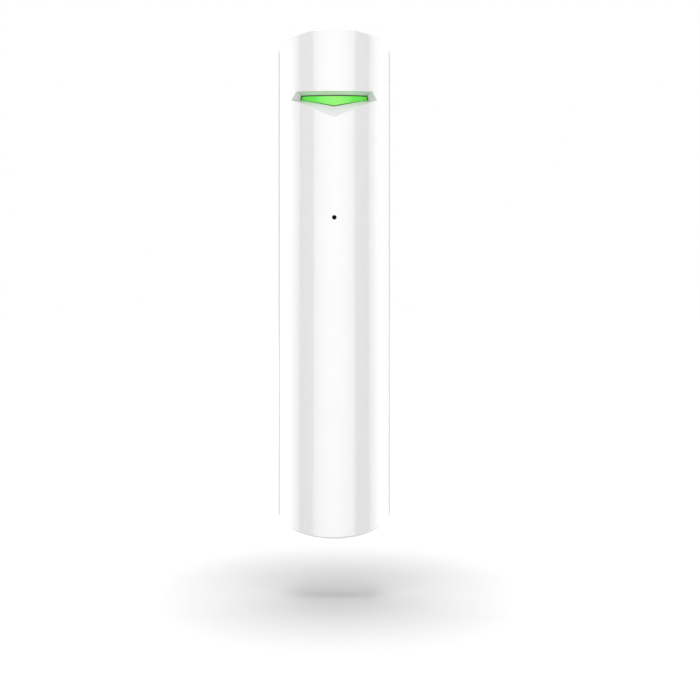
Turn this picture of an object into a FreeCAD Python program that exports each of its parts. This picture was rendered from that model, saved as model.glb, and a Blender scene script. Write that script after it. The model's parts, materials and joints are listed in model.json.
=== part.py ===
import FreeCAD, Part
import Sketcher
import math
import os
import re

# Glass break sensor: a slim white case on a wall bracket, with a V-shaped indicator and a microphone pinhole.
# Millimetres. The wall is the plane y = 0, the front faces -Y and +Z is up; z = 0 is half way up the case.
# A depth is a distance in front of the wall, so a point at depth d has y = -d.

SIZES = {
    # Cell, and the shell that wraps it
    "battery_diameter": 16.6,
    "battery_length": 34.2,
    "battery_clearance": 0.4,
    "battery_seat_gap": 0.1,
    "cap_diameter": 6.0,
    "cap_height": 1.0,
    "cell_shoulder": 0.6,
    "crimp_drop": 2.6,
    "crimp_depth": 0.4,
    "wall": 1.3,
    "end_angle": 22.8,
    "end_chamfer": 0.3,
    "rim_gap": 0.3,
    # Indicator recess and lens: drops are from the recess's top edge, and that edge's own is from the board's top
    "recess_place": 4.35,
    "recess_depth": 1.8,
    "recess_side_drop": 1.5,
    "recess_tip_drop": 4.65,
    "recess_top_angle": 42.1,
    "recess_side_angle": 49.5,
    "recess_wall": 1.0,
    "recess_margin": 0.8,
    "lens_top_drop": 0.65,
    "lens_side_drop": 1.4,
    "lens_tip_drop": 2.65,
    "lens_top_angle": 35.9,
    "lens_side_angle": 37.1,
    "lens_clearance": 0.15,
    "lens_edge": 0.6,
    "guide_foot_width": 3.4,
    "guide_foot_height": 1.8,
    "guide_gap": 0.3,
    # Microphone behind its pinhole
    "microphone_height": 7.7,
    "pinhole_diameter": 0.8,
    "capsule_diameter": 6.0,
    "capsule_length": 4.5,
    "capsule_rim": 0.4,
    "capsule_clearance": 0.05,
    "lead_diameter": 0.5,
    "lead_pitch": 2.54,
    "boot_wall": 1.0,
    "boot_lip": 0.6,
    "boot_clearance": 0.1,
    "boss_wall": 1.0,
    "boss_height": 2.5,
    "boss_fill": 1.2,
    "mesh_thickness": 0.2,
    # Tray that closes the back
    "chassis_clearance": 0.15,
    "chassis_wall": 1.2,
    "end_clearance": 0.2,
    "bulkhead": 1.2,
    "rail_thickness": 1.0,
    "rail_depth": 7.0,
    "boss_diameter": 4.0,
    "boss_height_on_board": 12.4,
    "snap_depth": 0.3,
    "snap_width": 1.2,
    "snap_length": 5.0,
    "snap_spread": 36.0,
    "snap_clearance": 0.06,
    # Wall bracket
    "bracket_thickness": 1.3,
    "bracket_clearance": 0.1,
    "bracket_side_gap": 0.5,
    "bracket_end_gap": 0.3,
    "bracket_round": 2.0,
    "hook_width": 2.0,
    "hook_stem": 1.6,
    "hook_thickness": 1.0,
    "hook_lip": 2.0,
    "hook_play": 0.3,
    "hook_gap": 0.15,
    "hook_seat_gap": 0.05,
    "hook_inset": 6.4,
    "screw_spacing": 52.0,
    "screw_hole_diameter": 3.4,
    "countersink": 0.8,
    "head_room": 3.2,
    "relief_depth": 0.6,
    "tab_width": 8.4,
    "tab_margin": 4.0,
    "perforation": 0.5,
    "tab_bridge": 1.0,
    "wire_slot_width": 7.0,
    "wire_slot_height": 2.6,
    # Circuit board and what it carries
    "board_length": 34.35,
    "board_thickness": 1.0,
    "board_standoff": 6.4,
    "board_gap": 0.3,
    "board_end_gap": 0.4,
    "board_side_gap": 0.15,
    "board_round": 0.8,
    "screw_diameter": 1.9,
    "screw_length": 6.0,
    "screw_head_diameter": 3.6,
    "screw_head_height": 1.3,
    "screw_clearance": 0.05,
    "drive_slot": 0.5,
    "contact_thickness": 0.4,
    "contact_width": 4.0,
    "contact_reach": 3.0,
    "contact_overlap": 2.4,
    "spring_gap": 2.4,
    "strip_thickness": 0.3,
    "strip_width": 2.0,
    "strip_inset": 3.1,
    "contact_clearance": 0.2,
    "led_width": 3.2,
    "led_length": 2.6,
    "led_lens_diameter": 2.2,
    "led_height": 1.1,
    "led_dome": 0.8,
    "shield_width": 8.0,
    "shield_length": 8.0,
    "shield_height": 1.8,
    "shield_sheet": 0.25,
    "shield_round": 0.6,
    "vent_diameter": 0.8,
    "chip_width": 4.4,
    "chip_thickness": 0.9,
    "chip_inset": 5.2,
    "chip_place": 10.85,
    "crystal_width": 3.2,
    "crystal_length": 2.5,
    "crystal_thickness": 0.8,
    "antenna_width": 12.6,
    "antenna_height": 2.6,
    "antenna_strip": 1.4,
    "antenna_sheet": 0.3,
    "antenna_feed": 8.0,
    "antenna_drop": 2.6,
    "passive_length": 1.6,
    "passive_width": 0.8,
    "passive_height": 0.6,
    # Tamper switch
    "tamper_place": 12.3,
    "tamper_width": 6.0,
    "tamper_roof": 0.5,
    "plunger_diameter": 2.2,
    "plunger_clearance": 0.1,
    "plunger_flange": 3.6,
    "plunger_flange_height": 1.2,
    "plunger_tip_gap": 0.05,
    "tamper_travel": 0.4,
    "tamper_room": 0.75,
    "dome_diameter": 3.4,
    "dome_rise": 0.5,
    "dome_sheet": 0.15,
    "dome_clearance": 0.05,
    # Power switch
    "power_place": 6.05,
    "power_width": 8.6,
    "power_length": 3.6,
    "power_height": 4.6,
    "power_travel": 2.0,
    "slider_width": 1.6,
    "slider_length": 1.5,
    "slider_clearance": 0.1,
    "slider_root": 1.4,
    "slider_sink": 0.5,
    # Screw terminals
    "terminal_width": 9.8,
    "terminal_length": 7.0,
    "terminal_height": 6.0,
    "terminal_place": 1.4,
    "terminal_pitch": 4.8,
    "terminal_screw_diameter": 2.6,
    "terminal_well": 1.9,
    "wire_entry": 2.6,
    "wire_entry_length": 5.0,
    "clamp_sheet": 0.4,
    "window_clearance": 0.2,
}

PLACES = {
    # The shell is as wide and as deep as the cell and its walls need
    "body_radius": "battery_diameter / 2 + battery_clearance + wall",
    "inner_radius": "body_radius - wall",
    "chassis_back": "bracket_thickness + bracket_clearance",
    "chassis_front": "chassis_back + chassis_wall",
    "axis_depth": "chassis_front + battery_seat_gap + battery_diameter / 2",
    "front_depth": "axis_depth + body_radius",
    "board_back": "chassis_front + board_standoff",
    "board_front": "board_back + board_thickness",
    # Both ends slope back from the front, so the end wall is thicker along Z than across
    "slope": "tan(end_angle)",
    "end_wall": "wall / cos(end_angle)",
    "chassis_inset": "end_wall + end_clearance",
    # The stack along Z sets the height: tray foot, cell, contacts and board
    "foot_rise": "slope * (front_depth - chassis_front) + chassis_inset",
    "battery_rise": "foot_rise + bulkhead + spring_gap",
    "contact_rise": "battery_rise + battery_length",
    "bulkhead_rise": "contact_rise + contact_thickness",
    "board_rise": "bulkhead_rise + bulkhead + board_gap",
    "head_room_above": "board_end_gap + end_wall + slope * (front_depth - board_back)",
    "body_height": "board_rise + board_length + head_room_above",
    "half_height": "body_height / 2",
    "foot_z": "foot_rise - half_height",
    "battery_z": "battery_rise - half_height",
    "contact_z": "contact_rise - half_height",
    "bulkhead_z": "bulkhead_rise - half_height",
    "board_z": "board_rise - half_height",
    "board_top": "board_z + board_length",
    # Widths inside the shell
    "chassis_half": "inner_radius - chassis_clearance",
    "rail_inside": "chassis_half - rail_thickness",
    "board_half": "chassis_half - board_side_gap",
    "boss_x": "rail_inside - boss_diameter / 2 + rail_thickness / 2",
    "boss_z": "board_z + boss_height_on_board",
    "bracket_half": "inner_radius - bracket_side_gap",
    # Indicator
    "recess_z": "board_top - recess_place",
    "lens_radius": "body_radius - recess_depth",
    "led_z": "recess_z - (lens_top_drop + lens_tip_drop) / 2",
    "led_front": "board_front + led_height + led_dome",
    "guide_back": "led_front + guide_gap",
    "lens_half": "body_radius * sin(lens_side_angle)",
    "lens_back": "axis_depth + sqrt(lens_radius ^ 2 - lens_half ^ 2) - lens_edge",
    # Microphone
    "microphone_z": "board_z + microphone_height",
    "seat_depth": "front_depth - wall - boss_fill",
    "boot_front": "seat_depth - mesh_thickness",
    "boot_radius": "capsule_diameter / 2 + boot_wall",
    # Bracket: it leaves the tray room to slide up off the hooks
    "rim_end": "half_height - slope * front_depth - end_wall",
    "release_travel": "hook_lip + hook_play",
    "bracket_top": "rim_end - bracket_end_gap",
    "bracket_foot": "release_travel + bracket_end_gap - rim_end",
    "bracket_middle": "(bracket_top + bracket_foot) / 2",
    "upper_screw_z": "bracket_middle + screw_spacing / 2",
    "lower_screw_z": "bracket_middle - screw_spacing / 2",
    "upper_hook_z": "bracket_top - hook_inset - hook_stem",
    "lower_hook_z": "bracket_foot + hook_inset",
    "hook_outside": "rail_inside - hook_gap",
    "grip_depth": "chassis_front + hook_gap",
    # Tamper and power switches, and the terminals
    "tamper_z": "board_z + tamper_place",
    "flange_front": "board_back - tamper_travel - dome_rise - dome_sheet - 2 * dome_clearance",
    "flange_back": "flange_front - plunger_flange_height",
    "tamper_back": "flange_back - tamper_room - tamper_roof",
    "power_z": "board_top - power_place",
    "power_back": "board_back - power_height",
    "terminal_z": "board_z + terminal_place + terminal_length / 2",
    "terminal_back": "board_back - terminal_height",
    "tab_foot": "tamper_z - tab_margin",
    "tab_head": "upper_screw_z + tab_margin",
    "chip_z": "board_top - chip_place",
    "shield_z": "(microphone_z + boot_radius + chip_z - shield_length) / 2",
    "antenna_z": "board_top - antenna_drop - antenna_strip",
}

PLANES = {"top": "XY_Plane", "front": "XZ_Plane", "side": "YZ_Plane"}
TOLERANCE = 1e-4

doc = FreeCAD.newDocument("glass_break_sensor")


# Sheets and formulas

def fill_sheet(name, rows, as_text):
    sheet = doc.addObject("Spreadsheet::Sheet", name)
    for row, (alias, content) in enumerate(rows.items(), start=1):
        sheet.set(f"A{row}", alias)
        sheet.set(f"B{row}", as_text(content))
        sheet.setAlias(f"B{row}", alias)
    doc.recompute()
    return sheet


def full(formula):
    """The formula with the sheet of each named size written out."""
    def with_sheet(match):
        word = match.group(0)
        if word in SIZES:
            return "Size." + word
        return "Place." + word if word in PLACES else word
    return re.sub(r"[a-z][a-z_]*", with_sheet, formula)


def value(formula):
    return float(places.evalExpression(full(formula)))


def bind(thing, path, formula):
    thing.setExpression(path, full(formula))


# Bodies, sketches and features

def new_body(name):
    body = doc.addObject("PartDesign::Body", name)
    body.Label = name
    return body


def origin_feature(body, role):
    return next(part for part in body.Origin.OriginFeatures if part.Role == role)


def new_sketch(body, name, plane, offset="0"):
    """A sketch on one of the body's planes, moved by offset along its normal: +Z, -Y (so a depth) or +X."""
    sketch = body.newObject("Sketcher::SketchObject", name)
    sketch.AttachmentSupport = [(origin_feature(body, PLANES[plane]), "")]
    sketch.MapMode = "FlatFace"
    sketch.AttachmentOffset = FreeCAD.Placement(FreeCAD.Vector(0, 0, value(offset)), FreeCAD.Rotation())
    bind(sketch, "AttachmentOffset.Base.z", offset)
    return sketch


def place_point(sketch, geometry, end, across, up):
    """Ties one point of a sketch to two formulas."""
    for kind, formula in (("DistanceX", across), ("DistanceY", up)):
        row = sketch.addConstraint(Sketcher.Constraint(kind, -1, 1, geometry, end, value(formula)))
        bind(sketch, f"Constraints[{row}]", formula)


def add_outline(sketch, corners):
    """A closed outline of straight lines whose corners are pairs of formulas."""
    points = [FreeCAD.Vector(value(across), value(up), 0) for across, up in corners]
    first = len(sketch.Geometry)
    count = len(points)
    for index in range(count):
        sketch.addGeometry(Part.LineSegment(points[index], points[(index + 1) % count]), False)
    for index, (across, up) in enumerate(corners):
        following = first + (index + 1) % count
        sketch.addConstraint(Sketcher.Constraint("Coincident", first + index, 2, following, 1))
        place_point(sketch, first + index, 1, across, up)


def add_disc(sketch, across, up, diameter):
    centre = FreeCAD.Vector(value(across), value(up), 0)
    circle = Part.Circle(centre, FreeCAD.Vector(0, 0, 1), value(diameter) / 2)
    index = sketch.addGeometry(circle, False)
    place_point(sketch, index, 3, across, up)
    row = sketch.addConstraint(Sketcher.Constraint("Diameter", index, value(diameter)))
    bind(sketch, f"Constraints[{row}]", diameter)


def add_section(sketch, radius, back):
    """The shell's own section: a half round front about the body axis, and straight sides back to a depth."""
    axis = value("axis_depth")
    reach = value(radius)
    rear = value(back)
    centre = FreeCAD.Vector(0, -axis, 0)
    circle = Part.Circle(centre, FreeCAD.Vector(0, 0, 1), reach)
    sketch.addGeometry(Part.ArcOfCircle(circle, math.pi, 2 * math.pi), False)
    corners = [(reach, -axis), (reach, -rear), (-reach, -rear), (-reach, -axis)]
    points = [FreeCAD.Vector(x, y, 0) for x, y in corners]
    for start, end in zip(points, points[1:]):
        sketch.addGeometry(Part.LineSegment(start, end), False)
    for one, other in ((0, 1), (1, 2), (2, 3)):
        sketch.addConstraint(Sketcher.Constraint("Coincident", one, 2, other, 1))
    sketch.addConstraint(Sketcher.Constraint("Coincident", 3, 2, 0, 1))
    place_point(sketch, 0, 3, "0", "-axis_depth")
    row = sketch.addConstraint(Sketcher.Constraint("Radius", 0, reach))
    bind(sketch, f"Constraints[{row}]", radius)
    for line, end in ((1, 1), (3, 2)):
        row = sketch.addConstraint(Sketcher.Constraint("DistanceY", -1, 1, line, end, -axis))
        bind(sketch, f"Constraints[{row}]", "-axis_depth")
        sketch.addConstraint(Sketcher.Constraint("Vertical", line))
    sketch.addConstraint(Sketcher.Constraint("Horizontal", 2))
    row = sketch.addConstraint(Sketcher.Constraint("DistanceY", -1, 1, 2, 1, -rear))
    bind(sketch, f"Constraints[{row}]", f"-({back})")


def rectangle(across, up, width, height):
    """Corners of a rectangle about a centre."""
    left = f"{across} - ({width}) / 2"
    right = f"{across} + ({width}) / 2"
    low = f"{up} - ({height}) / 2"
    high = f"{up} + ({height}) / 2"
    return [(left, low), (right, low), (right, high), (left, high)]


def span(left, right, low, high):
    """Corners of a rectangle between four bounds."""
    return [(left, low), (right, low), (right, high), (left, high)]


def pad(body, sketch, length, middle=False, backwards=False):
    """Adds material along the sketch's normal; backwards adds it the other way."""
    feature = body.newObject("PartDesign::Pad", sketch.Name + "_pad")
    feature.Profile = sketch
    feature.Length = value(length)
    bind(feature, "Length", length)
    feature.Midplane = middle
    feature.Reversed = backwards
    doc.recompute()
    return feature


def pocket(body, sketch, length, middle=False, forwards=False):
    """Cuts against the sketch's normal; forwards cuts along it. A cut that takes nothing away is an error."""
    before = body.Shape.Volume
    feature = body.newObject("PartDesign::Pocket", sketch.Name + "_pocket")
    feature.Profile = sketch
    feature.Length = value(length)
    bind(feature, "Length", length)
    feature.Midplane = middle
    feature.Reversed = forwards
    doc.recompute()
    if not body.Shape.Volume < before - TOLERANCE:
        raise RuntimeError(f"{feature.Name} cuts nothing")
    return feature


def outline_pad(body, name, plane, corners, length, offset="0", **ways):
    sketch = new_sketch(body, name, plane, offset)
    add_outline(sketch, corners)
    return pad(body, sketch, length, **ways)


def outline_pocket(body, name, plane, outlines, length, offset="0", **ways):
    sketch = new_sketch(body, name, plane, offset)
    for corners in outlines:
        add_outline(sketch, corners)
    return pocket(body, sketch, length, **ways)


def disc_pad(body, name, plane, discs, length, offset="0", **ways):
    sketch = new_sketch(body, name, plane, offset)
    for disc in discs:
        add_disc(sketch, *disc)
    return pad(body, sketch, length, **ways)


def disc_pocket(body, name, plane, discs, length, offset="0", **ways):
    sketch = new_sketch(body, name, plane, offset)
    for disc in discs:
        add_disc(sketch, *disc)
    return pocket(body, sketch, length, **ways)


def mirror_across(body, features):
    """Repeats features on the other side of the plane x = 0."""
    mirrored = body.newObject("PartDesign::Mirrored", body.Name + "_mirrored")
    mirrored.Originals = features
    mirrored.MirrorPlane = (origin_feature(body, "YZ_Plane"), [""])
    body.Tip = mirrored
    doc.recompute()


def edge_names(body, wanted):
    return [f"Edge{index}" for index, edge in enumerate(body.Tip.Shape.Edges, start=1) if wanted(edge)]


def dress(body, kind, size, amount, wanted):
    """A fillet (Radius) or chamfer (Size) on the edges that wanted picks."""
    base = body.Tip
    names = edge_names(body, wanted)
    feature = body.newObject(f"PartDesign::{kind}", f"{body.Name}_{kind.lower()}")
    feature.Base = (base, names)
    setattr(feature, size, value(amount))
    bind(feature, size, amount)
    body.Tip = feature
    doc.recompute()


def along(edge, direction):
    """Whether a straight edge runs along a direction."""
    if len(edge.Vertexes) != 2:
        return False
    chord = edge.Vertexes[1].Point - edge.Vertexes[0].Point
    return edge.Length - abs(chord.dot(direction)) < TOLERANCE


def turned(name, plane, corners):
    """A body revolved about its sketch's upright axis; corners are pairs of radius and height."""
    body = new_body(name)
    sketch = new_sketch(body, name + "_profile", plane)
    add_outline(sketch, corners)
    spin = body.newObject("PartDesign::Revolution", name + "_turn")
    spin.Profile = sketch
    spin.ReferenceAxis = (sketch, ["V_Axis"])
    spin.Angle = 360
    doc.recompute()
    return body


def stand_at(body, x="0", y="0", z="0"):
    for axis, formula in zip("xyz", (x, y, z)):
        bind(body, f"Placement.Base.{axis}", formula)
    doc.recompute()


# Booleans and groups of separate solids

def boolean(kind, name, parts):
    """A Part::Cut (base, tool), Part::MultiFuse or Part::MultiCommon of finished pieces."""
    result = doc.addObject(kind, name)
    if kind == "Part::Cut":
        result.Base, result.Tool = parts
    else:
        result.Shapes = parts
    result.Label = name
    doc.recompute()
    return result


def group(name, parts):
    result = doc.addObject("Part::Compound", name)
    result.Links = parts
    result.Label = name
    doc.recompute()
    return result


def mirrored_copy(source):
    other = doc.addObject("Part::Mirroring", source.Name + "_other")
    other.Source = source
    other.Normal = FreeCAD.Vector(1, 0, 0)
    return other


def pair(name, source):
    """A piece and its mirror image across x = 0, as one group."""
    return group(name, [source, mirrored_copy(source)])


# Moulded shell

def end_z(inset, depth):
    """Height of a sloped end at a depth, brought in by inset along Z."""
    return f"(half_height - ({inset}) - slope * (front_depth - ({depth})))"


def sloped_bar(name, radius, back, inset):
    """A bar of the shell's section with both ends cut back at a slope."""
    body = new_body(name)
    sketch = new_sketch(body, name + "_section", "top")
    add_section(sketch, radius, back)
    pad(body, sketch, "body_height + 2 * wall", middle=True)
    far = "front_depth + wall"
    near = "-wall"
    beyond = "half_height + 2 * wall"
    ends = []
    for side in ("", "-"):
        ends.append([
            (f"-({far})", f"{side}{end_z(inset, far)}"),
            (f"-({near})", f"{side}{end_z(inset, near)}"),
            (f"-({near})", f"{side}({beyond})"),
            (f"-({far})", f"{side}({beyond})"),
        ])
    outline_pocket(body, name + "_ends", "side", ends, "4 * body_radius", middle=True)
    return body


def five_corners(top_angle, side_angle, top_drop, side_drop, tip_drop, clearance="0"):
    """A V-shaped outline seen from the front, symmetric about x = 0: flat top, short sides, one point below."""
    top = f"body_radius * sin({top_angle}) - ({clearance})"
    side = f"body_radius * sin({side_angle}) - ({clearance})"
    top_z = f"recess_z - {top_drop} - ({clearance})"
    side_z = f"recess_z - {side_drop}"
    tip_z = f"recess_z - {tip_drop} + ({clearance})"
    return [(f"-({top})", top_z), (top, top_z), (side, side_z), ("0", tip_z), (f"-({side})", side_z)]


RECESS = five_corners("recess_top_angle", "recess_side_angle", "0", "recess_side_drop", "recess_tip_drop")
RECESS_FRAME = five_corners(
    "recess_top_angle", "recess_side_angle", "0", "recess_side_drop", "recess_tip_drop", "-recess_margin")
LENS_WINDOW = five_corners(
    "lens_top_angle", "lens_side_angle", "lens_top_drop", "lens_side_drop", "lens_tip_drop")
LENS = five_corners(
    "lens_top_angle", "lens_side_angle", "lens_top_drop", "lens_side_drop", "lens_tip_drop", "lens_clearance")


def shell_point(start, end, share, radius):
    """A point part of the way from start to end in the front view, laid on a cylinder about the body axis."""
    x = start[0] + (end[0] - start[0]) * share
    z = start[1] + (end[1] - start[1]) * share
    return FreeCAD.Vector(x, -value("axis_depth") - math.sqrt(radius ** 2 - x ** 2), z)


def smooth_edge(points):
    curve = Part.BSplineCurve()
    curve.interpolate(points)
    return curve.toShape()


def recess_bevels(name):
    """What the five bevels cut away: each is ruled from the recess's edge on the shell to the lens's edge deeper
    in, runs on past both, and everything in front of it goes."""
    outer = [(value(across), value(up)) for across, up in RECESS]
    inner = [(value(across), value(up)) for across, up in LENS_WINDOW]
    steps = 6
    overrun = 0.2
    cutters = []
    for index in range(len(outer)):
        following = (index + 1) % len(outer)
        front_points = []
        back_points = []
        for step in range(steps + 1):
            near = shell_point(outer[index], outer[following], step / steps, value("body_radius"))
            far = shell_point(inner[index], inner[following], step / steps, value("lens_radius"))
            front_points.append(near + (near - far) * overrun)
            back_points.append(far + (far - near) * overrun)
        bevel = Part.makeRuledSurface(smooth_edge(front_points), smooth_edge(back_points))
        cutters.append(bevel.extrude(FreeCAD.Vector(0, -value("front_depth"), 0)))
    bevels = doc.addObject("Part::Feature", name)
    bevels.Shape = cutters[0].multiFuse(cutters[1:])
    return bevels


def body_cylinder(name, radius):
    """A cylinder about the body axis, as tall as the case."""
    cylinder = doc.addObject("Part::Cylinder", name)
    bind(cylinder, "Radius", radius)
    bind(cylinder, "Height", "body_height")
    bind(cylinder, "Placement.Base.y", "-axis_depth")
    bind(cylinder, "Placement.Base.z", "-half_height")
    doc.recompute()
    return cylinder


def front_housing():
    outside = sloped_bar("shell_outside", "body_radius", "rim_gap", "0")

    def is_sharp(edge):
        on_end = all(abs(abs(corner.Z) - value(end_z("0", str(-corner.Y)))) < TOLERANCE for corner in edge.Vertexes)
        on_rim = all(abs(corner.Y + value("rim_gap")) < TOLERANCE for corner in edge.Vertexes)
        return on_end or on_rim
    dress(outside, "Chamfer", "Size", "end_chamfer", is_sharp)
    inside = sloped_bar("shell_inside", "inner_radius", "-wall", "end_wall")
    shell = boolean("Part::Cut", "bare_shell", [outside, inside])

    boss = new_body("microphone_boss")
    reach = "boot_radius + boot_clearance"
    seat = "front_depth - seat_depth + boss_height"
    disc_pad(boss, "boss_round", "front", [("0", "microphone_z", f"2 * ({reach} + boss_wall)")], seat,
             offset="seat_depth - boss_height")
    boss_in_shell = boolean("Part::MultiCommon", "boss_in_shell", [boss, outside])

    frame = new_body("recess_frame")
    outline_pad(frame, "frame_outline", "front", RECESS_FRAME, "front_depth - lens_back", offset="lens_back")
    frame_ring = boolean("Part::Cut", "frame_ring", [frame, body_cylinder("frame_back", "lens_radius - recess_wall")])
    frame_in_shell = boolean("Part::MultiCommon", "frame_in_shell", [frame_ring, outside])
    with_boss = boolean("Part::MultiFuse", "shell_with_boss", [shell, boss_in_shell, frame_in_shell])

    window = new_body("lens_window")
    outline_pad(window, "window_outline", "front", LENS_WINDOW, "body_radius + wall", offset="axis_depth")
    bore = new_body("boot_bore")
    disc_pad(bore, "bore_round", "front", [("0", "microphone_z", f"2 * ({reach})")], "boss_height",
             offset="seat_depth - boss_height")
    disc_pad(bore, "pinhole_round", "front", [("0", "microphone_z", "pinhole_diameter")],
             "front_depth + wall - seat_depth + boss_height", offset="seat_depth - boss_height")
    grooves = snap_ridges("snap_grooves", "snap_clearance")
    cutters = group("shell_cutters", [bore] + grooves)
    plain_shell = boolean("Part::Cut", "plain_shell", [with_boss, cutters])
    opening = boolean("Part::MultiFuse", "recess_opening", [window, recess_bevels("recess_bevels")])
    return boolean("Part::Cut", "front_housing", [plain_shell, opening])


def snap_corners(clearance):
    """A low ridge on the tray's side, that clicks into a groove of the shell."""
    middle = "(chassis_front + rail_depth) / 2"
    half = f"(snap_width / 2 + {clearance})"
    root = "(chassis_half - rail_thickness / 2)"
    return [
        (root, f"-({middle}) - {half}"),
        ("chassis_half", f"-({middle}) - {half}"),
        (f"chassis_half + snap_depth + {clearance}", f"-({middle})"),
        ("chassis_half", f"-({middle}) + {half}"),
        (root, f"-({middle}) + {half}"),
    ]


def snap_feet():
    """Lower ends of the two snaps of a side."""
    return [f"{sign}snap_spread / 2 - snap_length / 2" for sign in ("-", "")]


def snap_ridges(name, clearance):
    """Both sides' ridges as separate bodies, to cut their grooves in the shell."""
    ridges = []
    for index, foot in enumerate(snap_feet()):
        ridge = new_body(f"{name}_{index}")
        outline_pad(ridge, f"{name}_profile_{index}", "top", snap_corners(clearance),
                    f"snap_length + 2 * {clearance}", offset=f"{foot} - {clearance}")
        ridges += [ridge, mirrored_copy(ridge)]
    return ridges


def light_guide():
    """Green V lens with a curved face, and a funnel behind it that ends over the lamp on the board."""
    guide = new_body("guide_blank")
    wide = new_sketch(guide, "guide_lens", "front", "lens_back")
    add_outline(wide, LENS)
    pad(guide, wide, "front_depth - lens_back")
    start = new_sketch(guide, "funnel_start", "front", "lens_back")
    add_outline(start, LENS)
    end = new_sketch(guide, "funnel_end", "front", "guide_back")
    half = "guide_foot_width / 2"
    rise = "guide_foot_height / 2"
    add_outline(end, [
        (f"-({half})", f"led_z + {rise}"), (half, f"led_z + {rise}"), (half, "led_z"),
        ("0", f"led_z - {rise}"), (f"-({half})", "led_z")])
    funnel = guide.newObject("PartDesign::AdditiveLoft", "funnel")
    funnel.Profile = start
    funnel.Sections = [end]
    funnel.Ruled = True
    doc.recompute()
    return boolean("Part::MultiCommon", "light_guide", [guide, body_cylinder("lens_face", "lens_radius")])


# Tray and wall bracket

def hook_left():
    """Inner edge of the hooks across the bracket."""
    return "(hook_outside - hook_width)"


def hook_slot(stem):
    """A slot in the tray: it closes above the stem and leaves room below for the lip to pass."""
    return span(f"{hook_left()} - hook_gap", "hook_outside + hook_gap / 2",
                f"{stem} - release_travel - hook_gap", f"{stem} + hook_stem + hook_seat_gap")


def rear_chassis():
    body = new_body("rear_chassis")
    low = f"-{end_z('chassis_inset', 'chassis_back')}"
    high = end_z("chassis_inset", "chassis_back")
    inner_high = end_z("chassis_inset", "chassis_front")
    outline_pad(body, "tray_floor", "side", [
        ("-chassis_back", low), ("-chassis_front", "foot_z"), ("-chassis_front", inner_high),
        ("-chassis_back", high)], "2 * chassis_half", middle=True)
    rail = outline_pad(body, "tray_rail", "side", [
        ("-chassis_back", low), ("-chassis_front", "foot_z"), ("-rail_depth", "foot_z"),
        ("-rail_depth", "bulkhead_z"),
        ("-board_back", "bulkhead_z"), ("-board_back", end_z("chassis_inset", "board_back")),
        ("-chassis_back", high)], "rail_thickness", offset="rail_inside")
    boss = disc_pad(body, "screw_boss", "front", [("boss_x", "boss_z", "boss_diameter")],
                    "board_standoff + chassis_wall", offset="chassis_back")
    snaps = [
        outline_pad(body, f"snap_ridge_{index}", "top", snap_corners("0"), "snap_length", offset=foot)
        for index, foot in enumerate(snap_feet())]
    mirror_across(body, [rail, boss] + snaps)
    for name, foot in (("foot_bulkhead", "foot_z"), ("head_bulkhead", "bulkhead_z")):
        sketch = new_sketch(body, name, "top", foot)
        add_section(sketch, "battery_diameter / 2", "chassis_front")
        pad(body, sketch, "bulkhead")

    slots = [hook_slot("upper_hook_z"), hook_slot("lower_hook_z")]
    mirrored_slots = [[(f"-({across})", up) for across, up in slot] for slot in slots]
    outline_pocket(body, "hook_slots", "front", slots + mirrored_slots, "2 * chassis_wall",
                   offset="chassis_front + chassis_wall / 2")
    terminal_half = "(terminal_width / 2 + window_clearance)"
    terminal = span(f"-{terminal_half}", terminal_half,
                    "board_z + window_clearance", "terminal_z + terminal_length / 2 + window_clearance")
    power = rectangle("0", "power_z", "power_travel + slider_width + 2 * window_clearance",
                      "slider_length + 2 * window_clearance")
    outline_pocket(body, "windows", "front", [terminal, power], "2 * chassis_wall",
                   offset="chassis_front + chassis_wall / 2")
    disc_pocket(body, "plunger_hole", "front",
                [("0", "tamper_z", "plunger_diameter + 2 * window_clearance")], "2 * chassis_wall",
                offset="chassis_front + chassis_wall / 2")
    reliefs = [
        span("-head_room", "head_room", f"{screw} - release_travel - head_room", f"{screw} + head_room")
        for screw in ("upper_screw_z", "lower_screw_z")]
    outline_pocket(body, "screw_head_reliefs", "front", reliefs, "2 * relief_depth",
                   offset="chassis_back + relief_depth")
    bores = [(f"{sign}boss_x", "boss_z", "screw_diameter + 2 * screw_clearance") for sign in ("", "-")]
    disc_pocket(body, "boss_bores", "front", bores, "screw_length", offset="board_back")
    contact = span("-contact_width / 2 - contact_clearance", "contact_width / 2 + contact_clearance",
                   "-(board_front + contact_thickness + contact_clearance)",
                   "-(board_front - contact_clearance)")
    strip = span("strip_inset - contact_clearance", "strip_inset + strip_width + contact_clearance",
                 "-(chassis_front + strip_thickness + contact_clearance)", "-chassis_front")
    outline_pocket(body, "contact_slots", "top", [contact, strip], "2 * bulkhead",
                   offset="bulkhead_z + 3 * bulkhead / 2")
    return body


def perforations():
    """Short cuts round the break-away tab, with bridges left between them."""
    half = "tab_width / 2"
    rows = 3
    row_height = f"(tab_head - tab_foot) / {rows}"
    cuts = []
    for row in range(rows):
        low = f"tab_foot + {row} * {row_height} + tab_bridge / 2"
        cuts.append(span(half, f"{half} + perforation", low, f"{low} + {row_height} - tab_bridge"))
    for foot in ("tab_foot - perforation", "tab_head"):
        cuts.append(span("tab_bridge / 2", f"{half} - tab_bridge / 2", foot, f"{foot} + perforation"))
    others = [[(f"-({across})", up) for across, up in corners] for corners in cuts]
    return cuts + others


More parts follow.
